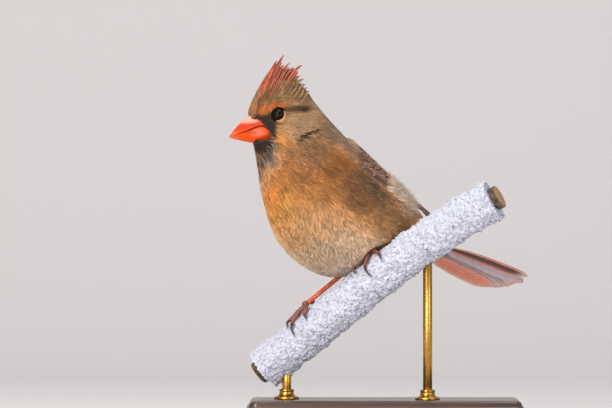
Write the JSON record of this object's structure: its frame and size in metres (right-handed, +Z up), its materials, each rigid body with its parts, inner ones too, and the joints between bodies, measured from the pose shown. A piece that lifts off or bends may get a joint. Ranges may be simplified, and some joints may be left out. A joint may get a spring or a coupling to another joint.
{
  "type": "female northern cardinal model",
  "caption": "Life-size crested songbird gripping a cut length of snow-crusted branch, held over a flat base by upright rods.",
  "frame": {"origin": "middle of the base's flat underside, on the surface that it rests on", "axes": "+Z up, through the crest; +Y away from the viewer, towards the tail's side; +X along the base's long side, towards the branch's upper end, with the bill towards -X"},
  "size_m": [0.1642, 0.1446, 0.1976],
  "materials": {
    "plumage": "soft matt feathers, warm buff below and grey-brown above",
    "flight_feathers": "smooth brown vanes with red edges",
    "bill_horn": "satin orange-red horn",
    "eye": "wet gloss, dark brown",
    "leg_scales": "dry scaly red-brown skin",
    "bark": "rough bark with cut ends",
    "frozen_snow": "granular bluish white crust",
    "base_wood": "dark lacquer",
    "rod_metal": "plain polished rod"
  },
  "bodies": {
    "root": {"head": "plumage", "neck": "plumage", "torso": "plumage", "wing_left": "flight_feathers", "wing_right": "flight_feathers", "tail": "flight_feathers", "bill_upper": "bill_horn", "bill_lower": "bill_horn", "eye_left": "eye", "eye_right": "eye", "leg_left": "leg_scales", "leg_right": "leg_scales", "foot_left": "leg_scales", "foot_right": "leg_scales", "perch_branch": "bark", "perch_snow": "frozen_snow", "stand_base": "base_wood", "stand_rod_low": "rod_metal", "stand_rod_high": "rod_metal"}
  },
  "joints": []
}
